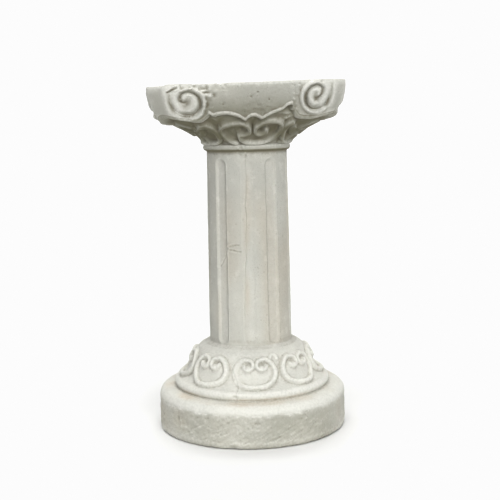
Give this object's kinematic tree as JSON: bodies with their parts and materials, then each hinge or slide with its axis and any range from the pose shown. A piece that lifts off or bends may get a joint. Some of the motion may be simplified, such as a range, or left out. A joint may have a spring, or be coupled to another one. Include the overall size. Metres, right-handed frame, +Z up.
{
  "type": "column pedestal",
  "caption": "Cast-stone garden pedestal: round drum, scrolled stage, fluted round shaft and a flared capital with a square top block and corner volutes; carries a pot or statue.",
  "frame": {"origin": "middle of the underside of the round drum, on the ground", "axes": "+Z up along the column's axis; -Y the front side of the square top, +X to the right seen from the front; the sides of the square top lie along X and Y"},
  "size_m": [0.3383, 0.3376, 0.614],
  "materials": {
    "cast_stone": "matte"
  },
  "bodies": {
    "root": {"column_pedestal": "cast_stone"}
  },
  "joints": []
}
